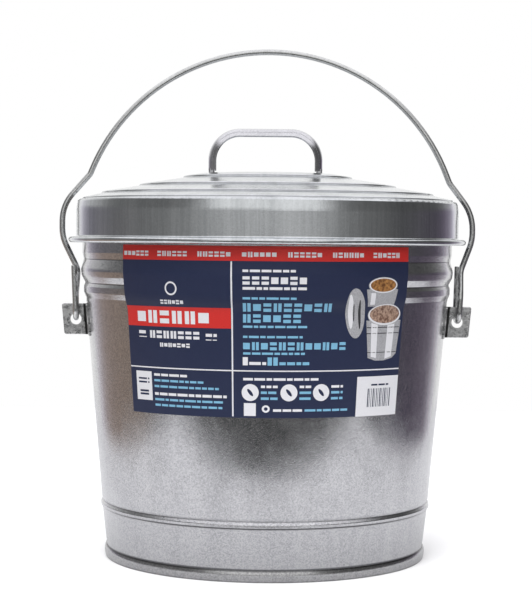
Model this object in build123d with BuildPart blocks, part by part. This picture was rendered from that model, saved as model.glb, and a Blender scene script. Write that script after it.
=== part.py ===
from build123d import *
import os
from math import sqrt

# Galvanised pail-shaped can with a stepped lid and a wire bail that arches over
# the lid and keeps it shut.  Frame: +Z up, origin on the floor on the can's
# axis, the labelled front faces -Y.  All sizes are in millimetres.

os.makedirs("parts", exist_ok=True)

# ---------------------------------------------------------------- driving sizes
SHEET = 0.6                    # wall and lid sheet
FOOT_R = 142.1                 # outside of the foot hoop
FOOT_H = 9.6                   # height of the foot hoop
FOOT_LIP_R, FOOT_FLAT_R = 141.15, 141.1   # its top lip and the edge of its flat underside
WALL_R0 = 140.4                # outside of the wall where the hoop holds it
TAPER_R1, TAPER_Z1 = 144.9, 51.8      # foot of the long tapered wall
TAPER_R2, TAPER_Z2 = 159.9, 227.5     # head of the long tapered wall
NECK_R = 163.4                 # upright neck under the rim
RIM_Z = 310.2                  # centre height of the rolled rim
RIM_WIRE_R = 1.65
PAN_T = 0.7                    # bottom sheet
PAN_Z = 12.4                   # upper face of the bottom's outer land

LID_R = 169.0                  # outside of the lid's band
LID_Z = 313.6                  # shoulder of the lid
LID_TOP = 337.4                # flat centre of the lid
LID_BEAD_R, LID_BEAD_Z = 173.0, 278.3  # centre of the lid's wired edge
LID_WIRE_R = 1.95

STRAP_X = 50.7                 # outside half length of the lid's grip
STRAP_MID = -2.2               # the grip sits a little off the middle
STRAP_TOP = 377.6
STRAP_BEND = 28.0
STRAP_HALF_W = 11.5
STRAP_DEPTH = 6.7
STRAP_T = 1.2
STRAP_FOOT = 3.2               # height of the crimped feet
TONGUE_T, TONGUE_W, TONGUE_L = 1.2, 12.0, 9.5

EAR_X = 169.6                  # hole centre
EAR_Z = 207.5
EAR_HOLE_R = 5.0
EAR_T = 1.6                    # doubled sheet
EAR_Z1, EAR_Z2 = 193.8, 221.3
EAR_OUT1, EAR_OUT2 = 179.8, 182.4
EAR_FLANGE_T = 1.0
EAR_FLANGE_DEG = 12.5

WIRE_R = 2.6                   # bail wire
PIVOT_Z = 217.0                # swing axis: centre of the hook's bend
HOOK_R = 8.5                   # centre line radius of the hook's bend
BOW_TOP = (1.2, 445.3)         # centre line of the wire at the crown (x, z)
BOW_RIGHT = (158.7, 337.5)     # ends of the big arch
BOW_LEFT = (-156.3, 339.7)

LABEL_T = 0.35
LABEL_A1, LABEL_A2 = -46.0, 44.75      # about the front, degrees
LABEL_Z1, LABEL_Z2 = 136.0, 274.5

SEAM_DEG = 2.6                 # side seam at the back
SEAM_T = 0.7


def taper_r(z):
    """Outside radius of the long tapered wall at height z."""
    return TAPER_R1 + (TAPER_R2 - TAPER_R1) * (z - TAPER_Z1) / (TAPER_Z2 - TAPER_Z1)


def shifted(points, shift):
    """Corners of a path moved sideways: shift > 0 is to the left of its direction."""
    lines = []
    for (x1, z1), (x2, z2) in zip(points, points[1:]):
        length = sqrt((x2 - x1) ** 2 + (z2 - z1) ** 2)
        nx, nz = -(z2 - z1) / length * shift, (x2 - x1) / length * shift
        lines.append(((x1 + nx, z1 + nz), (x2 + nx, z2 + nz)))
    moved = [lines[0][0]]
    for ((ax, az), (bx, bz)), ((cx, cz), (dx, dz)) in zip(lines, lines[1:]):
        ux, uz, vx, vz = bx - ax, bz - az, dx - cx, dz - cz
        t = ((cx - ax) * vz - (cz - az) * vx) / (ux * vz - uz * vx)
        moved.append((ax + t * ux, az + t * uz))
    moved.append(lines[-1][1])
    return moved


def shifted_radii(points, radii, shift):
    """Corner radii of the shifted path, so that the sheet keeps one thickness."""
    result = []
    for (ax, az), (bx, bz), (cx, cz), radius in zip(points, points[1:], points[2:], radii):
        turn = (bx - ax) * (cz - bz) - (bz - az) * (cx - bx)
        result.append(radius - shift if turn > 0 else radius + shift)
    return result


def sheet_solid(points, radii, shift, plane=Plane.XZ, arc=360.0, curl=None):
    """Sheet of revolution from a filleted path, its thickness and an end curl.

    curl is (centre, inside radius, sweep in degrees) and starts at 180 degrees.
    """
    far = shifted(points, shift)
    with BuildPart() as made:
        with BuildSketch(plane):
            with BuildLine():
                FilletPolyline(*points, radius=radii)
                FilletPolyline(*far, radius=shifted_radii(points, radii, shift))
                Line(points[0], far[0])
                if curl:
                    centre, inside, sweep_deg = curl
                    near_curl = CenterArc(centre, inside, 180.0, sweep_deg)
                    far_curl = CenterArc(centre, inside + abs(shift), 180.0, sweep_deg)
                    Line(near_curl @ 1, far_curl @ 1)
                else:
                    Line(points[-1], far[-1])
            make_face()
        revolve(axis=Axis.Z, revolution_arc=arc)
    return made.part


# ------------------------------------------------------------------ can wall
wall_points = [
    (WALL_R0, 1.0),
    (WALL_R0, 11.0),
    (144.3, 43.6),
    (145.8, 45.4),
    (145.8, 47.6),
    (144.2, 50.4),
    (TAPER_R1, TAPER_Z1),
    (TAPER_R2, TAPER_Z2),
    (161.9, 232.6),
    (162.0, 237.6),
    (160.8, 240.7),
    (163.9, 247.0),
    (164.5, 252.2),
    (162.2, 261.4),
    (NECK_R, 266.8),
    (NECK_R, RIM_Z),
]
wall_radii = [6.0, 1.8, 1.0, 1.0, 0.8, 1.2, 4.0, 1.5, 1.2, 1.2, 5.0, 8.0, 2.0, 4.0]
curl_r = RIM_WIRE_R + 0.05
curl_c = (NECK_R + curl_r, RIM_Z)
wall_sheet = sheet_solid(wall_points, wall_radii, SHEET, curl=(curl_c, curl_r, -290.0))
with BuildPart() as body_wall:
    add(wall_sheet)
body_wall.part.label = "body_wall"
export_step(body_wall.part, "parts/body_wall.step")

with BuildPart() as rim_wire:
    with BuildSketch(Plane.XZ):
        with Locations(curl_c):
            Circle(RIM_WIRE_R)
    revolve(axis=Axis.Z)
rim_wire.part.label = "rim_wire"
export_step(rim_wire.part, "parts/rim_wire.step")

# side seam folded over at the back, on the tapered wall only
with BuildPart() as wall_seam:
    with BuildSketch(Plane.XZ.rotated((0, 0, 90.0 - SEAM_DEG / 2))):
        with BuildLine():
            Polyline(
                (taper_r(54.0), 54.0),
                (taper_r(222.0), 222.0),
                (taper_r(222.0) + SEAM_T, 220.5),
                (taper_r(54.0) + SEAM_T, 55.5),
                close=True,
            )
        make_face()
    revolve(axis=Axis.Z, revolution_arc=SEAM_DEG)
wall_seam.part.label = "wall_seam"
export_step(wall_seam.part, "parts/wall_seam.step")

# ------------------------------------------------------------------ bottom
pan_r = WALL_R0 - SHEET
pan_points = [
    (0, 9.4),
    (50, 9.4),
    (54, 10.6),
    (112, 10.6),
    (117, PAN_Z),
    (pan_r, PAN_Z),
    (pan_r, 1.4),
]
pan_sheet = sheet_solid(pan_points, [3.0, 3.0, 3.0, 3.0, 2.4], -PAN_T)
with BuildPart() as bottom_pan:
    add(pan_sheet)
bottom_pan.part.label = "bottom_pan"
export_step(bottom_pan.part, "parts/bottom_pan.step")

# foot hoop: a folded channel that grips the wall and the bottom's flange
hoop_in = pan_r - PAN_T
with BuildPart() as foot_hoop:
    with BuildSketch(Plane.XZ) as hoop_section:
        with BuildLine():
            ThreePointArc((FOOT_LIP_R, FOOT_H), (FOOT_R, 4.4), (FOOT_FLAT_R, 0))
            Polyline(
                (FOOT_FLAT_R, 0),
                (hoop_in - 0.9, 0),
                (hoop_in - 0.9, 7.0),
                (hoop_in, 7.0),
                (hoop_in, 1.0),
                (WALL_R0, 1.0),
                (WALL_R0, FOOT_H),
                (FOOT_LIP_R, FOOT_H),
            )
        make_face()
        corners = hoop_section.vertices()
        fillet(corners.filter_by_position(Axis.Y, 6.9, 7.1), radius=0.4)
    revolve(axis=Axis.Z)
foot_hoop.part.label = "foot_hoop"
export_step(foot_hoop.part, "parts/foot_hoop.step")

# ------------------------------------------------------------------ ears
flange_z1, flange_z2 = EAR_Z1 + 0.6, EAR_Z2 - 0.6
with BuildPart() as ear_right:
    # flange that follows the tapered wall
    with BuildSketch(Plane.XZ.rotated((0, 0, -EAR_FLANGE_DEG))):
        with BuildLine():
            Polyline(
                (taper_r(flange_z1), flange_z1),
                (taper_r(flange_z1) + EAR_FLANGE_T, flange_z1),
                (taper_r(flange_z2) + EAR_FLANGE_T, flange_z2),
                (taper_r(flange_z2), flange_z2),
                close=True,
            )
        make_face()
    revolve(axis=Axis.Z, revolution_arc=2 * EAR_FLANGE_DEG)
    # fin standing out from the wall
    with BuildSketch(Plane.XZ) as fin:
        with BuildLine():
            Polyline(
                (taper_r(EAR_Z1) + 0.3, EAR_Z1),
                (EAR_OUT1, EAR_Z1),
                (EAR_OUT2, EAR_Z2),
                (taper_r(EAR_Z2) + 0.3, EAR_Z2),
                close=True,
            )
        make_face()
        fillet(fin.vertices().sort_by(Axis.X)[-2:], radius=2.0)
    extrude(amount=EAR_T / 2, both=True)
    fold = ear_right.edges().filter_by_position(Axis.X, 177.0, 182.0)
    fillet(fold, radius=0.7)
    # pressed collar round the hole, then the hole
    with BuildSketch(Plane.XZ):
        with Locations((EAR_X, EAR_Z)):
            Circle(7.9)
    extrude(amount=EAR_T / 2 + 0.7, both=True, taper=25)
    with BuildSketch(Plane.XZ):
        with Locations((EAR_X, EAR_Z)):
            Circle(EAR_HOLE_R)
    extrude(amount=5.0, both=True, mode=Mode.SUBTRACT)
ear_right.part.label = "ear_right"
export_step(ear_right.part, "parts/ear_right.step")

with BuildPart() as ear_left:
    add(ear_right.part.rotate(Axis.Z, 180.0))
ear_left.part.label = "ear_left"
export_step(ear_left.part, "parts/ear_left.step")

# ------------------------------------------------------------------ label
label_points = [
    (taper_r(LABEL_Z1) + 0.04, LABEL_Z1),
    (taper_r(222.0) + 0.04, 222.0),
    (162.5, 231.2),
    (164.65, 251.0),
    (164.65, LABEL_Z2),
]
label_start = Plane.XZ.rotated((0, 0, -90.0 + LABEL_A1))
label_skin = sheet_solid(
    label_points, [30.0, 30.0, 30.0], -LABEL_T, label_start, LABEL_A2 - LABEL_A1
)
with BuildPart() as label_sheet:
    add(label_skin)
label_sheet.part.label = "label_sheet"
export_step(label_sheet.part, "parts/label_sheet.step")

# ------------------------------------------------------------------ lid
lid_points = [
    (0, LID_TOP),
    (60.0, LID_TOP),
    (74.6, 335.1),
    (75.5, 333.4),
    (113.4, 327.4),
    (114.3, 325.8),
    (146.4, 320.4),
    (147.2, 318.9),
    (163.5, 315.1),
    (164.2, LID_Z + 0.1),
    (167.6, LID_Z),
    (LID_R, 305.0),
    (LID_R, 281.5),
    (LID_BEAD_R - LID_WIRE_R - 0.05, 280.5),
    (LID_BEAD_R - LID_WIRE_R - 0.05, LID_BEAD_Z),
]
lid_radii = [6.0, 0.8, 0.8, 0.8, 0.8, 0.8, 0.8, 0.8, 0.8, 2.6, 30.0, 1.1, 1.0]
bead_c = (LID_BEAD_R, LID_BEAD_Z)
lid_sheet = sheet_solid(
    lid_points, lid_radii, -SHEET, curl=(bead_c, LID_WIRE_R + 0.05, 295.0)
)
tongue_x = STRAP_X - STRAP_DEPTH / 2
with BuildPart() as lid_pan:
    add(lid_sheet)
    # slots for the grip's tongues
    with Locations((STRAP_MID + tongue_x, 0, LID_TOP), (STRAP_MID - tongue_x, 0, LID_TOP)):
        Box(TONGUE_T + 0.4, TONGUE_W + 0.6, 4.0, mode=Mode.SUBTRACT)
lid_pan.part.label = "lid_pan"
export_step(lid_pan.part, "parts/lid_pan.step")

with BuildPart() as lid_rim_wire:
    with BuildSketch(Plane.XZ):
        with Locations(bead_c):
            Circle(LID_WIRE_R)
    revolve(axis=Axis.Z)
lid_rim_wire.part.label = "lid_rim_wire"
export_step(lid_rim_wire.part, "parts/lid_rim_wire.step")

# grip: half-round strap bent to a U, crimped feet and tongues folded under the lid
crown_r = (STRAP_HALF_W**2 + STRAP_DEPTH**2) / (2 * STRAP_DEPTH)
inner_y = sqrt((crown_r - STRAP_T) ** 2 - (crown_r - STRAP_DEPTH) ** 2)
strap_z0 = LID_TOP + STRAP_FOOT
with BuildPart() as grip:
    with BuildLine() as strap_path:
        FilletPolyline(
            (-STRAP_X, 0, strap_z0),
            (-STRAP_X, 0, STRAP_TOP),
            (STRAP_X, 0, STRAP_TOP),
            (STRAP_X, 0, strap_z0),
            radius=STRAP_BEND,
        )
    with BuildSketch(Plane.XY.offset(strap_z0)):
        with BuildLine():
            outer_1 = (-STRAP_X + STRAP_DEPTH, -STRAP_HALF_W)
            outer_2 = (-STRAP_X + STRAP_DEPTH, STRAP_HALF_W)
            inner_1 = (-STRAP_X + STRAP_DEPTH, -inner_y)
            inner_2 = (-STRAP_X + STRAP_DEPTH, inner_y)
            ThreePointArc(outer_1, (-STRAP_X, 0), outer_2)
            Line(outer_2, inner_2)
            ThreePointArc(inner_2, (-STRAP_X + STRAP_T, 0), inner_1)
            Line(inner_1, outer_1)
        make_face()
    sweep(path=strap_path.line)
    # crimped feet
    for s in (-1, 1):
        with BuildSketch(Plane.XY.offset(LID_TOP)) as foot:
            with Locations((s * (STRAP_X - 3.1), 0)):
                RectangleRounded(5.2, 15.0, 1.8)
        extrude(amount=STRAP_FOOT + 1.6)
        # tongue through the slot, folded toward the middle under the sheet
        under = LID_TOP - SHEET - 0.05
        with BuildSketch(Plane.XZ) as tongue:
            with BuildLine():
                Polyline(
                    (s * (tongue_x + TONGUE_T / 2), LID_TOP + 1.0),
                    (s * (tongue_x + TONGUE_T / 2), under - TONGUE_T),
                    (s * (tongue_x + TONGUE_T / 2 - TONGUE_L), under - TONGUE_T),
                    (s * (tongue_x + TONGUE_T / 2 - TONGUE_L), under),
                    (s * (tongue_x - TONGUE_T / 2), under),
                    (s * (tongue_x - TONGUE_T / 2), LID_TOP + 1.0),
                    close=True,
                )
            make_face()
        extrude(amount=TONGUE_W / 2, both=True)
with BuildPart() as lid_handle:
    with Locations((STRAP_MID, 0, 0)):
        add(grip.part)
lid_handle.part.label = "lid_handle"
export_step(lid_handle.part, "parts/lid_handle.step")

# ------------------------------------------------------------------ bail
# The wire runs from the right hook's cut end, down, round the hook's bend and up
# through a small jog into the middle plane, out round the lid's edge, over the
# arch and down the other side in the same way, where its cut end is in front.
hook_low = PIVOT_Z - HOOK_R
bend_r = HOOK_R - 0.2
crown = (BOW_TOP[0], 0.0, BOW_TOP[1])
right_side = [
    (170.3, HOOK_R, 257.0),
    (169.1, HOOK_R, hook_low),
    (170.3, -HOOK_R, hook_low),
    (171.5, -HOOK_R, 232.0),
    (172.2, 0.0, 253.0),
    (182.2, 0.0, 280.0),
    (182.2, 0.0, 303.7),
    (161.25, 0.0, 331.0),
    (BOW_RIGHT[0], 0.0, BOW_RIGHT[1]),
]
right_radii = [bend_r, bend_r, 18.0, 15.0, 38.0, 40.0, 16.0]
left_side = [
    (BOW_LEFT[0], 0.0, BOW_LEFT[1]),
    (-157.65, 0.0, 336.4),
    (-182.2, 0.0, 308.5),
    (-182.2, 0.0, 280.0),
    (-168.2, 0.0, 251.5),
    (-170.7, HOOK_R, 229.0),
    (-170.3, HOOK_R, hook_low),
    (-168.7, -HOOK_R, hook_low),
    (-170.7, -HOOK_R, 255.5),
]
left_radii = [7.0, 36.0, 36.0, 12.0, 14.0, bend_r, bend_r]

with BuildPart() as bail_wire:
    with BuildLine() as bail_path:
        FilletPolyline(*right_side, radius=right_radii)
        ThreePointArc(right_side[-1], crown, left_side[0])
        FilletPolyline(*left_side, radius=left_radii)
    with BuildSketch(Plane(origin=bail_path.line @ 0, z_dir=bail_path.line % 0)):
        Circle(WIRE_R)
    sweep(path=bail_path.line)
    ends = bail_wire.faces().filter_by(GeomType.PLANE).edges()
    chamfer(ends, length=0.5)
bail_wire.part.label = "bail_wire"
export_step(bail_wire.part, "parts/bail_wire.step")
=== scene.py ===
import math
import random

import bmesh
import bpy
from mathutils import Matrix, Vector


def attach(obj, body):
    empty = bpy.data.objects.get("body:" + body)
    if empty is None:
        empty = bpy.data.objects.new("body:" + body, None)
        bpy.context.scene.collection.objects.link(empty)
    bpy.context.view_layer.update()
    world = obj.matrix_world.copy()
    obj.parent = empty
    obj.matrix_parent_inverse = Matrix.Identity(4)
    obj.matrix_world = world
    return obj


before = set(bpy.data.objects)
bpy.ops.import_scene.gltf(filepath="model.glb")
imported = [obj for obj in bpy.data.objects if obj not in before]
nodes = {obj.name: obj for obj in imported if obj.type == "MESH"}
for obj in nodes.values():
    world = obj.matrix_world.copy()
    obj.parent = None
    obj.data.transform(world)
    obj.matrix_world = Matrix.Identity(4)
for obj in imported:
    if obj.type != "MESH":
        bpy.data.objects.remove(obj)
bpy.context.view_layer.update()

MM = 0.001

# ------------------------------------------------------------------ small tools


def mix(a, b, t):
    """Value between a and b."""
    return a + (b - a) * t


def add_node(tree, kind, **settings):
    """New shader node with its plain properties set."""
    made = tree.nodes.new(kind)
    for name, value in settings.items():
        setattr(made, name, value)
    return made


def plug(tree, source, target):
    """Joins an output socket to an input socket, or writes a plain value."""
    if hasattr(source, "is_output"):
        tree.links.new(source, target)
    else:
        target.default_value = source


def do_math(tree, operation, a, b=0.0, c=0.0, clamp=False):
    """One Math node, with plain numbers or sockets as inputs."""
    made = add_node(tree, "ShaderNodeMath", operation=operation, use_clamp=clamp)
    for value, socket in zip((a, b, c), made.inputs):
        plug(tree, value, socket)
    return made.outputs[0]


def remap(tree, value, low, high, to_low=0.0, to_high=1.0):
    """Value from low..high carried to to_low..to_high and held at the ends."""
    made = add_node(tree, "ShaderNodeMapRange")
    made.interpolation_type = "SMOOTHSTEP"
    for name, number in (
        ("Value", value),
        ("From Min", low),
        ("From Max", high),
        ("To Min", to_low),
        ("To Max", to_high),
    ):
        plug(tree, number, made.inputs[name])
    return made.outputs["Result"]


def blend_colour(tree, fac, a, b):
    """Colour a to colour b by fac."""
    made = add_node(tree, "ShaderNodeMix", data_type="RGBA")
    plug(tree, fac, made.inputs[0])
    plug(tree, a, made.inputs[6])
    plug(tree, b, made.inputs[7])
    return made.outputs[2]


def noise(tree, vector, scale, detail=3.0, rough=0.5, distortion=0.0):
    """Noise value, 0 to 1."""
    made = add_node(tree, "ShaderNodeTexNoise")
    plug(tree, vector, made.inputs["Vector"])
    made.inputs["Scale"].default_value = scale
    made.inputs["Detail"].default_value = detail
    made.inputs["Roughness"].default_value = rough
    made.inputs["Distortion"].default_value = distortion
    return made.outputs["Fac"]


def stretched(tree, vector, scale):
    """Coordinates scaled apart along X, Y and Z."""
    made = add_node(tree, "ShaderNodeMapping")
    plug(tree, vector, made.inputs["Vector"])
    made.inputs["Scale"].default_value = scale
    return made.outputs["Vector"]


def place(tree):
    """Object coordinates in metres."""
    return add_node(tree, "ShaderNodeTexCoord").outputs["Object"]


# ------------------------------------------------------------------ shared effects


def effect(name, inputs, outputs):
    """Empty node group with its sockets; gives the tree, its input and output nodes."""
    tree = bpy.data.node_groups.new(name, "ShaderNodeTree")
    for label, kind, default in inputs:
        socket = tree.interface.new_socket(name=label, in_out="INPUT", socket_type=kind)
        socket.default_value = default
    for label, kind in outputs:
        tree.interface.new_socket(name=label, in_out="OUTPUT", socket_type=kind)
    return tree, add_node(tree, "NodeGroupInput"), add_node(tree, "NodeGroupOutput")


FLOAT = "NodeSocketFloat"
VECTOR = "NodeSocketVector"


def make_zinc_grain():
    """Fine crystals, dark pits and soft clouds of a dipped zinc coat."""
    tree, gin, gout = effect(
        "zinc grain",
        [("Place", VECTOR, (0, 0, 0)), ("Crystal Size", FLOAT, 1.0), ("Pits", FLOAT, 1.0)],
        [("Tone", FLOAT), ("Height", FLOAT), ("Dullness", FLOAT)],
    )
    scaled = add_node(tree, "ShaderNodeVectorMath", operation="SCALE")
    plug(tree, gin.outputs["Place"], scaled.inputs[0])
    plug(tree, do_math(tree, "DIVIDE", 1.0, gin.outputs["Crystal Size"]), scaled.inputs["Scale"])
    at = scaled.outputs[0]
    crystals = add_node(tree, "ShaderNodeTexVoronoi", feature="F1")
    plug(tree, at, crystals.inputs["Vector"])
    crystals.inputs["Scale"].default_value = 820.0
    crystal_tone = add_node(tree, "ShaderNodeSeparateColor")
    plug(tree, crystals.outputs["Color"], crystal_tone.inputs[0])
    fine = noise(tree, at, 1300.0, 4.0, 0.65)
    pit_field = noise(tree, at, 760.0, 2.0, 0.55)
    pit_patch = noise(tree, at, 45.0, 3.0, 0.6)
    pits = remap(tree, do_math(tree, "MULTIPLY_ADD", pit_patch, 0.30, pit_field), 0.80, 0.90)
    pits = do_math(tree, "MULTIPLY", pits, gin.outputs["Pits"])
    clouds = noise(tree, at, 22.0, 3.0, 0.55)
    tone = do_math(tree, "MULTIPLY_ADD", crystal_tone.outputs[0], 0.30, do_math(tree, "MULTIPLY", fine, 0.70))
    tone = do_math(tree, "SUBTRACT", tone, pits)
    plug(tree, tone, gout.inputs["Tone"])
    grain = do_math(tree, "MULTIPLY_ADD", crystal_tone.outputs[1], 0.35, fine)
    plug(tree, do_math(tree, "SUBTRACT", grain, pits), gout.inputs["Height"])
    plug(tree, clouds, gout.inputs["Dullness"])
    return tree


def make_draw_streaks():
    """Streaks left by the rolls, running up the sheet; more Fineness packs them closer."""
    tree, gin, gout = effect(
        "draw streaks",
        [("Place", VECTOR, (0, 0, 0)), ("Fineness", FLOAT, 1.0)],
        [("Tone", FLOAT)],
    )
    long_way = stretched(tree, gin.outputs["Place"], (1.0, 1.0, 0.035))
    scaled = add_node(tree, "ShaderNodeVectorMath", operation="SCALE")
    plug(tree, long_way, scaled.inputs[0])
    plug(tree, gin.outputs["Fineness"], scaled.inputs["Scale"])
    wide = noise(tree, scaled.outputs[0], 60.0, 2.0, 0.5)
    thin = noise(tree, scaled.outputs[0], 420.0, 3.0, 0.6)
    both = do_math(tree, "MULTIPLY_ADD", wide, 0.6, do_math(tree, "MULTIPLY", thin, 0.4))
    plug(tree, both, gout.inputs["Tone"])
    return tree


def make_crease_shade_ring():
    """Mask of a level ring at one height, fading over its width; used to place painted crease shade."""
    tree, gin, gout = effect(
        "crease shade ring",
        [("Place", VECTOR, (0, 0, 0)), ("Height", FLOAT, 0.0), ("Width", FLOAT, 0.002)],
        [("Mask", FLOAT)],
    )
    parts = add_node(tree, "ShaderNodeSeparateXYZ")
    plug(tree, gin.outputs["Place"], parts.inputs[0])
    away = do_math(tree, "ABSOLUTE", do_math(tree, "SUBTRACT", parts.outputs["Z"], gin.outputs["Height"]))
    share = do_math(tree, "DIVIDE", away, gin.outputs["Width"], clamp=True)
    plug(tree, do_math(tree, "SUBTRACT", 1.0, remap(tree, share, 0.0, 1.0)), gout.inputs["Mask"])
    return tree


zinc_grain = make_zinc_grain()
draw_streaks = make_draw_streaks()
crease_shade_ring = make_crease_shade_ring()


def use(tree, group, **values):
    """Places a shared effect in a material; underscores in names stand for spaces."""
    made = add_node(tree, "ShaderNodeGroup", node_tree=group)
    for name, value in values.items():
        plug(tree, value, made.inputs[name.replace("_", " ")])
    return made


def new_material(name):
    """Material with its Principled shader; gives material, tree and shader."""
    made = bpy.data.materials.new(name)
    made.use_nodes = True
    return made, made.node_tree, made.node_tree.nodes["Principled BSDF"]


def bump(tree, shader, height, distance):
    """Surface relief, with its depth in metres."""
    made = add_node(tree, "ShaderNodeBump")
    plug(tree, height, made.inputs["Height"])
    made.inputs["Distance"].default_value = distance
    made.inputs["Strength"].default_value = 1.0
    plug(tree, made.outputs["Normal"], shader.inputs["Normal"])


GRAIN_RELIEF = 0.00002         # depth of the zinc crystals, m
# near-black colour of the painted shade in creases and under steps
PAINTED_CREASE_SHADE = (0.06, 0.06, 0.065, 1.0)


def zinc_sheet(name, light, dark, rough, rough_spread, streaks, crystal, pits, rings=()):
    """Galvanised sheet with grain, pits and streaks; rings are (height, half width, depth) of painted shade
    darkening creases and steps.
    """
    made, tree, shader = new_material(name)
    at = place(tree)
    grain = use(tree, zinc_grain, Place=at, Crystal_Size=crystal, Pits=pits)
    lines = use(tree, draw_streaks, Place=at, Fineness=1.0)
    tone = do_math(tree, "MULTIPLY", grain.outputs["Tone"], 1.0 - streaks)
    tone = do_math(tree, "MULTIPLY_ADD", lines.outputs["Tone"], streaks, tone)
    tone = remap(tree, tone, 0.25, 0.68)
    colour = blend_colour(tree, tone, dark, light)
    # painted shade: each ring darkens the sheet towards near black along a crease or step
    for height, width, depth in rings:
        mark = use(tree, crease_shade_ring, Place=at, Height=height, Width=width)
        share = do_math(tree, "MULTIPLY", mark.outputs["Mask"], depth)
        colour = blend_colour(tree, share, colour, PAINTED_CREASE_SHADE)
    plug(tree, colour, shader.inputs["Base Color"])
    dull = remap(tree, grain.outputs["Dullness"], 0.3, 0.7, rough - rough_spread, rough + rough_spread)
    plug(tree, dull, shader.inputs["Roughness"])
    shader.inputs["Metallic"].default_value = 1.0
    bump(tree, shader, grain.outputs["Height"], GRAIN_RELIEF)
    return made


wall_zinc = zinc_sheet(
    "wall zinc", light=(0.60, 0.60, 0.61, 1), dark=(0.34, 0.345, 0.36, 1),
    rough=0.165, rough_spread=0.04, streaks=0.25, crystal=0.7, pits=1.3,
    # rings: painted shade along the foot, lower bead and swell creases
    rings=(
        (0.0102, 0.0014, 0.90), (0.0446, 0.0011, 0.92), (0.0502, 0.0010, 0.45),
        (0.2407, 0.0009, 0.55), (0.2614, 0.0009, 0.55),
    ),
)
lid_zinc = zinc_sheet(
    "lid zinc", light=(0.665, 0.685, 0.70, 1), dark=(0.45, 0.47, 0.48, 1),
    rough=0.15, rough_spread=0.03, streaks=0.80, crystal=1.0, pits=0.25,
    # rings: painted shade at the foot of each step on the lid
    rings=(
        (0.3341, 0.0006, 0.75), (0.3264, 0.0006, 0.75), (0.3195, 0.0006, 0.75), (0.3143, 0.0005, 0.75),
    ),
)
hoop_zinc = zinc_sheet(
    "foot zinc", light=(0.52, 0.52, 0.52, 1), dark=(0.30, 0.30, 0.31, 1),
    rough=0.17, rough_spread=0.05, streaks=0.2, crystal=0.8, pits=1.0,
    # rings: painted shade in the foot crease and along the bottom edge where it meets the floor
    rings=((0.0093, 0.0009, 0.7), (0.0, 0.0016, 0.6)),
)
pan_zinc = zinc_sheet(
    "bottom zinc", light=(0.56, 0.56, 0.57, 1), dark=(0.42, 0.42, 0.43, 1),
    rough=0.30, rough_spread=0.06, streaks=0.2, crystal=1.4, pits=1.0,
)
grip_zinc = zinc_sheet(
    "grip zinc", light=(0.66, 0.66, 0.68, 1), dark=(0.46, 0.46, 0.48, 1),
    rough=0.17, rough_spread=0.04, streaks=0.55, crystal=1.0, pits=0.3,
)
wire_zinc = zinc_sheet(
    "wire zinc", light=(0.66, 0.665, 0.66, 1), dark=(0.44, 0.445, 0.44, 1),
    rough=0.26, rough_spread=0.05, streaks=0.45, crystal=1.0, pits=0.35,
)


EAR_LEAN = 0.0854              # how far the wall leans out per metre of height
EAR_FOLD_SHADE = (0.1441, 0.1449)    # where the painted shade in the fold ends, taken back to the foot, m


def ear_sheet():
    """Thick zinc of the ears: hammered and scuffed, with painted shade darkening the fold against the wall to
    near black.
    """
    made, tree, shader = new_material("ear zinc")
    at = place(tree)
    grain = use(tree, zinc_grain, Place=at, Crystal_Size=1.8, Pits=1.0)
    dents = noise(tree, at, 210.0, 4.0, 0.6, 0.8)
    scuffs = noise(tree, stretched(tree, at, (1.0, 1.0, 5.0)), 120.0, 5.0, 0.7)
    tone = do_math(tree, "MULTIPLY_ADD", grain.outputs["Tone"], 0.4, do_math(tree, "MULTIPLY", dents, 0.6))
    colour = blend_colour(tree, remap(tree, tone, 0.30, 0.62), (0.22, 0.225, 0.23, 1), (0.62, 0.62, 0.62, 1))
    bright = remap(tree, scuffs, 0.54, 0.66, 0.0, 0.8)
    colour = blend_colour(tree, bright, colour, (0.80, 0.80, 0.80, 1))
    # painted shade: the fold at the ear's root against the wall is darkened to near black
    parts = add_node(tree, "ShaderNodeSeparateXYZ")
    plug(tree, at, parts.inputs[0])
    reach = do_math(tree, "ABSOLUTE", parts.outputs["X"])
    lean = do_math(tree, "MULTIPLY_ADD", parts.outputs["Z"], -EAR_LEAN, reach)
    fold = do_math(tree, "SUBTRACT", 1.0, remap(tree, lean, *EAR_FOLD_SHADE))
    inside = remap(tree, do_math(tree, "ABSOLUTE", parts.outputs["Y"]), 0.0022, 0.0030)
    fold = do_math(tree, "MULTIPLY", fold, do_math(tree, "SUBTRACT", 1.0, inside))
    colour = blend_colour(tree, do_math(tree, "MULTIPLY", fold, 0.96), colour, (0.012, 0.012, 0.012, 1))
    plug(tree, colour, shader.inputs["Base Color"])
    plug(tree, remap(tree, dents, 0.3, 0.7, 0.24, 0.42), shader.inputs["Roughness"])
    shader.inputs["Metallic"].default_value = 1.0
    bump(tree, shader, dents, 0.0004)
    return made


ear_zinc = ear_sheet()


def printed_paper(name, base, shade, gloss, fleck=1400.0):
    """Coated label paper in one ink, with faint fibre and rub marks."""
    made, tree, shader = new_material(name)
    at = place(tree)
    fibre = noise(tree, at, fleck, 3.0, 0.6)
    rub = noise(tree, at, 35.0, 4.0, 0.6)
    colour = blend_colour(tree, remap(tree, fibre, 0.3, 0.7), base, shade)
    plug(tree, colour, shader.inputs["Base Color"])
    plug(tree, remap(tree, rub, 0.3, 0.7, gloss - 0.06, gloss + 0.08), shader.inputs["Roughness"])
    shader.inputs["Coat Weight"].default_value = 0.10
    shader.inputs["Coat Roughness"].default_value = 0.35
    bump(tree, shader, fibre, 0.00001)
    return made


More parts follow.
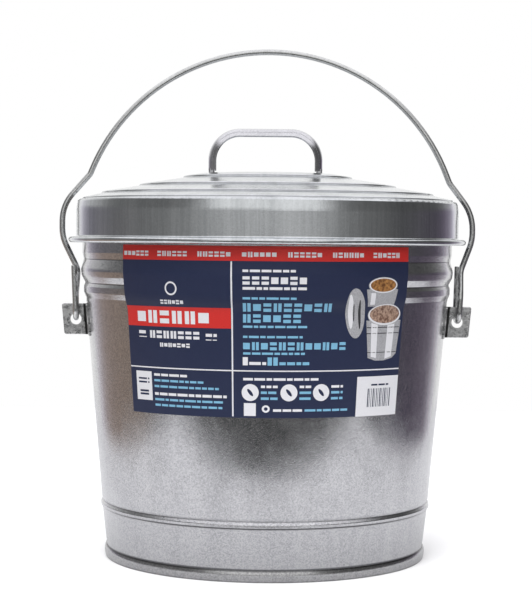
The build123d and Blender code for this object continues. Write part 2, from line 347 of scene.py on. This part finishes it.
navy_paper = printed_paper("navy ink", (0.010, 0.018, 0.062, 1), (0.008, 0.015, 0.052, 1), 0.55)
white_ink = printed_paper("white ink", (0.82, 0.82, 0.85, 1), (0.77, 0.77, 0.80, 1), 0.55)
red_ink = printed_paper("red ink", (0.66, 0.024, 0.018, 1), (0.60, 0.020, 0.016, 1), 0.55)
sky_ink = printed_paper("sky blue ink", (0.22, 0.50, 0.70, 1), (0.20, 0.46, 0.66, 1), 0.45)
silver_ink = printed_paper("silver ink", (0.50, 0.50, 0.52, 1), (0.30, 0.30, 0.32, 1), 0.5)
black_ink = printed_paper("black ink", (0.03, 0.03, 0.035, 1), (0.025, 0.025, 0.03, 1), 0.45)
amber_ink = printed_paper("amber ink", (0.50, 0.24, 0.07, 1), (0.12, 0.04, 0.01, 1), 0.5, fleck=420.0)
bran_ink = printed_paper("bran ink", (0.52, 0.36, 0.27, 1), (0.12, 0.05, 0.03, 1), 0.5, fleck=420.0)

for node_name, finish in (
    ("body_wall", wall_zinc),
    ("wall_seam", wall_zinc),
    ("rim_wire", wire_zinc),
    ("bottom_pan", pan_zinc),
    ("foot_hoop", hoop_zinc),
    ("ear_left", ear_zinc),
    ("ear_right", ear_zinc),
    ("label_sheet", navy_paper),
    ("lid_pan", lid_zinc),
    ("lid_rim_wire", wire_zinc),
    ("lid_handle", grip_zinc),
    ("bail_wire", wire_zinc),
):
    data = nodes[node_name].data
    data.materials.clear()
    data.materials.append(finish)

# ------------------------------------------------------------------ label print
# The print is laid out on the label as (degrees round from the front, height in mm).
INK = 0.05                     # height of one ink layer, mm
MARK_WIDTH = 1.15              # a mark and its gap, as a share of the row's height
MARK_GAP = 0.24                # the gap's share of that width
CUT_STEP = 0.75                # degrees between the cuts that let the print bend
OVERLAP = 0.01                 # how far the ink reaches into the label, mm


def outer_outline(node):
    """Heights and outside radii of a bent sheet, low to high, in mm."""
    mesh = node.data
    rings = {}
    for face in mesh.polygons:
        middle = Vector((face.center.x, face.center.y, 0.0)).normalized()
        if face.normal.dot(middle) < 0.8:
            continue
        for index in face.vertices:
            spot = mesh.vertices[index].co
            height = round(spot.z / MM, 1)
            rings[height] = max(rings.get(height, 0.0), math.hypot(spot.x, spot.y) / MM)
    return sorted(rings.items())


LABEL_OUTLINE = outer_outline(nodes["label_sheet"])


def label_radius(z):
    """Outside radius of the label at height z."""
    for (z1, r1), (z2, r2) in zip(LABEL_OUTLINE, LABEL_OUTLINE[1:]):
        if z <= z2:
            return mix(r1, r2, (z - z1) / (z2 - z1))
    return LABEL_OUTLINE[-1][1]


def on_label(degrees, z, lift):
    """Point on the label, lifted off it by lift, in metres."""
    r = (label_radius(z) + lift) * MM
    a = math.radians(degrees)
    return Vector((r * math.sin(a), -r * math.cos(a), z * MM))


def mm_to_deg(mm, z):
    """Width in mm as an angle at height z."""
    return math.degrees(mm / label_radius(z))


class Print:
    """All shapes printed in one ink, as one thin closed piece on the label."""

    def __init__(self, name, finish, layer):
        self.name = name
        self.finish = finish
        self.lift = INK * layer
        self.flat = bmesh.new()

    def shape(self, outline):
        """Adds a closed outline of (degrees, height) corners, turned anticlockwise."""
        after = outline[1:] + outline[:1]
        if sum(x1 * z2 - x2 * z1 for (x1, z1), (x2, z2) in zip(outline, after)) < 0:
            outline = outline[::-1]
        corners = [self.flat.verts.new((x, y, 0.0)) for x, y in outline]
        self.flat.faces.new(corners)

    def block(self, x1, x2, z1, z2):
        """Adds a level rectangle."""
        self.shape(((x1, z1), (x2, z1), (x2, z2), (x1, z2)))

    def disc(self, x, z, rx_mm, rz_mm, turn=0.0, sides=40):
        """Adds an ellipse with half sizes in mm."""
        outline = []
        for i in range(sides):
            a = 2 * math.pi * i / sides
            dx, dz = rx_mm * math.cos(a), rz_mm * math.sin(a)
            t = math.radians(turn)
            px, pz = dx * math.cos(t) - dz * math.sin(t), dx * math.sin(t) + dz * math.cos(t)
            outline.append((x + mm_to_deg(px, z), z + pz))
        self.shape(outline)

    def row_of_marks(self, x1, x2, z, tall):
        """Adds a row of plain marks, whole or slit, as many as its width and height call for."""
        pick = random.Random(int(x1 * 10 + z * 7))
        marks = max(2, round((x2 - x1) / mm_to_deg(tall * MARK_WIDTH, z)))
        step = (x2 - x1) / marks
        low, high = z - tall / 2, z + tall / 2
        for i in range(marks):
            left = x1 + step * i
            right = left + step * (1.0 - MARK_GAP)
            half = (right - left) * 0.42
            kind = pick.choice(("stack", "pair", "block"))
            if kind == "stack":
                self.block(left, right, z + tall * 0.12, high)
                self.block(left, right, low, z - tall * 0.12)
            elif kind == "pair":
                self.block(left, left + half, low, high)
                self.block(right - half, right, low, high)
            else:
                self.block(left, right, low + tall * 0.1, high - tall * 0.1)

    def line(self, x1, x2, z, tall, seed):
        """Adds a line of small words as short bars of uneven length."""
        pick = random.Random(seed)
        x = x1
        while x < x2 - 0.5:
            length = min(pick.uniform(1.2, 3.6), x2 - x)
            self.block(x, x + length, z - tall / 2, z + tall / 2)
            x += length + 0.42

    def finish_piece(self):
        """Cuts the flat shapes finely, bends them onto the label and thickens them."""
        work = self.flat
        cuts = [(Vector((CUT_STEP * i, 0, 0)), Vector((1, 0, 0))) for i in range(-62, 62)]
        cuts += [(Vector((0, z, 0)), Vector((0, 1, 0))) for z, _ in LABEL_OUTLINE[1:-1]]
        for point, normal in cuts:
            everything = work.verts[:] + work.edges[:] + work.faces[:]
            bmesh.ops.bisect_plane(work, geom=everything, plane_co=point, plane_no=normal, dist=1e-5)
        for v in work.verts:
            v.co = on_label(v.co.x, v.co.y, self.lift)
        mesh = bpy.data.meshes.new(self.name)
        work.to_mesh(mesh)
        work.free()
        piece = bpy.data.objects.new(self.name, mesh)
        bpy.context.scene.collection.objects.link(piece)
        mesh.materials.append(self.finish)
        thick = piece.modifiers.new("ink thickness", "SOLIDIFY")
        thick.thickness = (self.lift + OVERLAP) * MM
        thick.offset = -1.0
        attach(piece, "can")
        return piece


red = Print("label_red", red_ink, 1)
red.block(-45.95, 44.7, 262.4, 274.4)
red.block(-45.9, -10.3, 208.0, 224.4)

white = Print("label_white", white_ink, 2)
STRIP_ROWS = 7                 # rows of marks along the top strip
STRIP_LEFT, STRIP_RIGHT = -45.4, 44.2
strip_pitch = (STRIP_RIGHT - STRIP_LEFT) / STRIP_ROWS
for i in range(STRIP_ROWS):
    start = STRIP_LEFT + i * strip_pitch
    white.row_of_marks(start, start + strip_pitch * 0.78, 267.6, 4.2)
white.row_of_marks(-41.6, -15.9, 216.0, 10.4)
white.row_of_marks(-37.0, -19.4, 201.6, 6.2)
white.line(-41.4, -38.4, 203.0, 2.6, 5)
white.line(-41.4, -38.4, 199.2, 0.7, 6)
white.line(-18.0, -14.6, 202.2, 2.4, 7)
white.line(-18.0, -14.6, 198.4, 0.7, 8)
white.row_of_marks(-33.4, -22.8, 193.2, 3.4)
white.row_of_marks(-32.2, -24.3, 228.4, 3.4)
# plain ring above the strip
white.disc(-28.35, 239.5, 5.6, 5.6)
# rules
white.block(-10.2, -9.75, 137.0, 262.0)
white.block(-45.9, -10.2, 173.6, 174.6)
white.block(-9.75, 44.7, 173.6, 174.6)
# lower left box
white.block(-43.6, -37.2, 146.8, 170.6)
white.line(-36.2, -24.0, 168.3, 2.0, 11)
white.line(-36.2, -11.8, 152.6, 2.2, 14)
# right hand headings
white.line(-6.8, 8.0, 254.6, 2.0, 21)
white.row_of_marks(-6.8, 11.8, 246.9, 6.6)
white.line(-6.8, 11.2, 240.6, 2.2, 22)
white.block(-6.9, -5.4, 178.6, 185.2)
white.line(-5.0, 0.0, 180.2, 2.4, 23)
white.line(-6.8, 15.8, 167.4, 2.0, 24)
for x, seed in ((-4.7, 31), (6.9, 32), (16.8, 33)):
    white.disc(x, 156.6, 6.9, 6.9)
    white.line(x + 3.2, x + 8.2 if seed == 31 else x + 7.0, 161.4, 2.0, seed)
white.block(-6.6, -3.0, 137.6, 148.0)
white.disc(0.0, 143.4, 3.2, 3.0)
white.line(2.2, 11.0, 142.2, 2.0, 34)
white.block(28.6, 44.7, 135.9, 168.6)

silver = Print("label_silver", silver_ink, 2)
silver.disc(26.6, 220.6, 9.0, 20.4, turn=5.0)
silver.shape(((29.6, 240.0), (41.0, 240.0), (40.0, 226.0), (30.6, 226.0)))
silver.disc(35.4, 243.2, 15.0, 6.8)
silver.shape((
    (30.6, 214.5), (43.9, 214.5), (42.8, 187.0), (41.2, 183.4), (37.8, 181.4), (34.4, 181.6), (31.8, 184.0),
))
silver.disc(37.3, 219.0, 17.6, 9.0)

sky = Print("label_sky_blue", sky_ink, 2)
sky.line(-36.2, -18.8, 163.6, 1.8, 12)
sky.line(-36.2, -14.2, 158.8, 1.8, 13)
sky.line(-36.2, -12.2, 148.0, 1.8, 15)
sky.line(-36.2, -12.8, 143.4, 1.8, 16)
sky.line(-6.8, 8.4, 232.6, 1.8, 41)
sky.row_of_marks(-6.8, 19.6, 225.3, 6.8)
sky.row_of_marks(-6.8, 10.6, 216.4, 6.8)
sky.line(-6.8, 11.8, 209.8, 1.8, 42)
sky.line(-6.8, 10.6, 201.6, 1.8, 43)
sky.row_of_marks(-6.8, 24.6, 194.2, 6.4)
sky.line(-6.8, 11.4, 188.2, 1.8, 44)
sky.block(0.4, 1.7, 178.6, 185.2)
sky.block(2.1, 3.4, 178.6, 185.2)
sky.line(3.9, 13.6, 180.2, 2.4, 45)
for x, seed in ((-4.7, 51), (6.9, 52), (16.8, 53)):
    reach = 5.0 if x < 0 else 3.8
    sky.line(x + 3.2, x + 3.2 + reach, 156.6, 2.0, seed)
    sky.line(x + 3.2, x + 3.2 + reach, 151.8, 2.0, seed + 10)
sky.line(11.8, 25.6, 142.2, 1.8, 54)

navy_over = Print("label_navy", navy_paper, 3)
navy_over.disc(-28.35, 239.5, 4.2, 4.2)
for x in (-4.7, 6.9, 16.8):
    navy_over.disc(x, 156.6, 1.3, 3.6, turn=38.0)
navy_over.disc(0.0, 143.4, 1.5, 1.4)
for i, wide in enumerate((0.62, 0.3, 0.3, 0.62, 0.3, 0.45, 0.3, 0.62, 0.3, 0.45, 0.62, 0.3, 0.3, 0.62)):
    left = 32.6 + i * 0.66
    navy_over.block(left, left + wide * 0.6, 143.4, 158.6)
navy_over.line(33.8, 40.6, 161.6, 1.4, 61)
for z in (152.0, 154.6):
    navy_over.block(-42.2, -38.6, z - 1.0, z + 0.6)
for z in (164.6, 161.6):
    navy_over.line(-42.6, -38.2, z, 1.4, 62)

gleam = Print("label_gleam", white_ink, 3)
gleam.shape(((32.4, 212.5), (34.8, 211.0), (34.9, 183.6), (32.9, 184.8)))
gleam.shape(((38.6, 210.6), (41.4, 211.6), (40.8, 184.6), (38.2, 182.8)))
gleam.block(31.2, 32.8, 227.5, 237.0)
gleam.disc(25.0, 222.0, 2.4, 14.0, turn=5.0)
gleam.disc(37.3, 219.2, 17.2, 8.6)
gleam.disc(35.4, 243.3, 14.4, 6.3)
amber = Print("label_amber", amber_ink, 4)
amber.disc(35.4, 243.4, 13.2, 5.4)
bran = Print("label_bran", bran_ink, 4)
bran.disc(37.3, 219.6, 15.8, 7.4)
steel_lines = Print("label_dark_lines", black_ink, 3)
steel_lines.disc(28.0, 219.6, 1.2, 12.0, turn=5.0)
steel_lines.disc(26.0, 221.0, 0.8, 7.0, turn=5.0)
for z in (208.4, 203.6):
    steel_lines.block(30.9, 43.4, z, z + 0.7)
steel_lines.block(31.6, 42.7, 188.0, 188.6)

for ink in (red, white, sky, silver, navy_over, gleam, amber, bran, steel_lines):
    ink.finish_piece()

# ------------------------------------------------------------------ studio

FLOOR = ((-0.58, -0.43), (0.58, -0.43), (0.58, 1.3), (-0.58, 1.3))
floor_mesh = bpy.data.meshes.new("studio_floor")
shape = bmesh.new()
shape.faces.new([shape.verts.new((x, y, 0.0)) for x, y in FLOOR])
shape.to_mesh(floor_mesh)
shape.free()
floor = bpy.data.objects.new("studio_floor", floor_mesh)
bpy.context.scene.collection.objects.link(floor)
floor_paint, tree, shader = new_material("studio floor")
watched = add_node(tree, "ShaderNodeLightPath").outputs["Is Camera Ray"]
paper = blend_colour(tree, watched, (0.66, 0.66, 0.67, 1), (0.95, 0.95, 0.95, 1))
plug(tree, paper, shader.inputs["Base Color"])
shader.inputs["Roughness"].default_value = 0.6
shader.inputs["Specular IOR Level"].default_value = 0.0
floor_mesh.materials.append(floor_paint)


CAN_MIDDLE = (0, 0, 0.2)


def soft_light(name, at, size, power):
    """Square soft box that faces the can and leaves no highlight of its own."""
    data = bpy.data.lights.new(name, "AREA")
    data.shape = "SQUARE"
    data.size = size
    data.energy = power
    box = bpy.data.objects.new(name, data)
    bpy.context.scene.collection.objects.link(box)
    box.location = at
    box.rotation_euler = (Vector(CAN_MIDDLE) - Vector(at)).to_track_quat("-Z", "Y").to_euler()
    box.visible_glossy = False


soft_light("key box", (-0.25, -1.0, 1.6), 0.7, 14.0)
soft_light("fill box", (1.1, -1.4, 1.0), 0.9, 5.0)
soft_light("top box", (0.0, 0.1, 1.7), 1.2, 12.0)

world = bpy.data.worlds.new("studio")
bpy.context.scene.world = world
world.use_nodes = True
tree = world.node_tree
tree.nodes.clear()
out = add_node(tree, "ShaderNodeOutputWorld")
background = add_node(tree, "ShaderNodeBackground")
tree.links.new(background.outputs[0], out.inputs[0])
direction = add_node(tree, "ShaderNodeTexCoord").outputs["Generated"]
split = add_node(tree, "ShaderNodeSeparateXYZ")
tree.links.new(direction, split.inputs[0])
x, y, z = (split.outputs[i] for i in range(3))
round_angle = do_math(tree, "ARCTAN2", do_math(tree, "ABSOLUTE", x), do_math(tree, "MULTIPLY", y, -1.0))
share = do_math(tree, "DIVIDE", round_angle, math.pi)


def ramp(tree, value, stops):
    """Colour ramp of (place, grey or colour) stops."""
    made = add_node(tree, "ShaderNodeValToRGB")
    made.color_ramp.interpolation = "B_SPLINE"
    band = made.color_ramp.elements
    while len(band) > 1:
        band.remove(band[-1])
    for i, (where, tone) in enumerate(stops):
        stop = band[0] if i == 0 else band.new(where)
        stop.position = where
        stop.color = (*tone, 1.0) if isinstance(tone, tuple) else (tone, tone, tone, 1.0)
    plug(tree, value, made.inputs[0])
    return made.outputs[0]


BACK_LEVEL = (1.20, 1.16, 1.28)  # bright wall behind the can, at eye height
BACK_HIGH = (1.30, 1.27, 1.36)   # and above it
level_left = ramp(tree, share, (
    (0.0, 0.58), (0.12, 0.56), (0.22, 0.44), (0.30, 0.28), (0.46, 0.20),
    (0.68, (0.18, 0.175, 0.195)), (0.78, (0.36, 0.34, 0.40)), (0.84, BACK_LEVEL), (1.0, 1.30),
))
level_right = ramp(tree, share, (
    (0.0, 0.58), (0.12, 0.58), (0.22, 0.40), (0.30, 0.19), (0.46, 0.12),
    (0.68, (0.085, 0.075, 0.10)), (0.78, (0.24, 0.20, 0.27)), (0.84, BACK_LEVEL), (1.0, 1.30),
))
low_left = ramp(tree, share, (
    (0.0, 0.11), (0.2, 0.14), (0.40, 0.24), (0.52, (0.38, 0.30, 0.25)),
    (0.72, (0.38, 0.29, 0.24)), (0.79, (0.8, 0.76, 0.84)), (0.84, 1.3), (1.0, 1.3),
))
low_right = ramp(tree, share, (
    (0.0, 0.11), (0.2, 0.10), (0.40, 0.12), (0.52, (0.11, 0.10, 0.135)),
    (0.72, (0.14, 0.11, 0.15)), (0.79, (0.7, 0.66, 0.74)), (0.84, 1.3), (1.0, 1.3),
))
high_left = ramp(tree, share, (
    (0.0, 1.9), (0.13, 1.8), (0.20, 0.45), (0.30, 0.16), (0.60, 0.18),
    (0.70, 0.50), (0.80, 0.9), (0.85, BACK_HIGH), (1.0, BACK_HIGH),
))
high_right = ramp(tree, share, (
    (0.0, 1.9), (0.13, 1.8), (0.20, 0.40), (0.30, 0.12), (0.60, 0.09),
    (0.72, 0.14), (0.80, 0.6), (0.85, BACK_HIGH), (1.0, BACK_HIGH),
))
right_side = remap(tree, x, -0.12, 0.12)
level = blend_colour(tree, right_side, level_left, level_right)
low = blend_colour(tree, right_side, low_left, low_right)
high = blend_colour(tree, right_side, high_left, high_right)
studio = blend_colour(tree, remap(tree, z, -0.10, -0.03), low, level)
studio = blend_colour(tree, remap(tree, z, 0.05, 0.16), studio, high)
studio = blend_colour(tree, remap(tree, z, 0.48, 0.72), studio, (1.25, 1.24, 1.28, 1.0))
seen = add_node(tree, "ShaderNodeLightPath").outputs["Is Camera Ray"]
plug(tree, blend_colour(tree, seen, studio, (1.0, 1.0, 1.0, 1.0)), background.inputs["Color"])
background.inputs["Strength"].default_value = 1.0

# ------------------------------------------------------------------ camera
STAND_OFF, EYE_HEIGHT, EYE_SIDE = 1.549, 0.2798, -0.0006
TIP_DOWN, ROLL = math.radians(2.08), math.radians(0.54)
FOCAL_MM = 103.6
eye = bpy.data.cameras.new("camera")
eye.sensor_fit = "AUTO"
eye.sensor_width = 36.0
eye.lens = FOCAL_MM
eye.clip_start, eye.clip_end = 0.05, 20.0
camera = bpy.data.objects.new("camera", eye)
bpy.context.scene.collection.objects.link(camera)
bpy.context.scene.camera = camera
forward = Vector((0.0, math.cos(TIP_DOWN), -math.sin(TIP_DOWN)))
up = Vector((0.0, math.sin(TIP_DOWN), math.cos(TIP_DOWN)))
side = Vector((1.0, 0.0, 0.0))
turned_side = side * math.cos(ROLL) + up * math.sin(ROLL)
turned_up = up * math.cos(ROLL) - side * math.sin(ROLL)
turn = Matrix((turned_side, turned_up, -forward)).transposed().to_4x4()
camera.matrix_world = Matrix.Translation((EYE_SIDE, -STAND_OFF, EYE_HEIGHT)) @ turn
bpy.context.scene.view_settings.view_transform = "Standard"
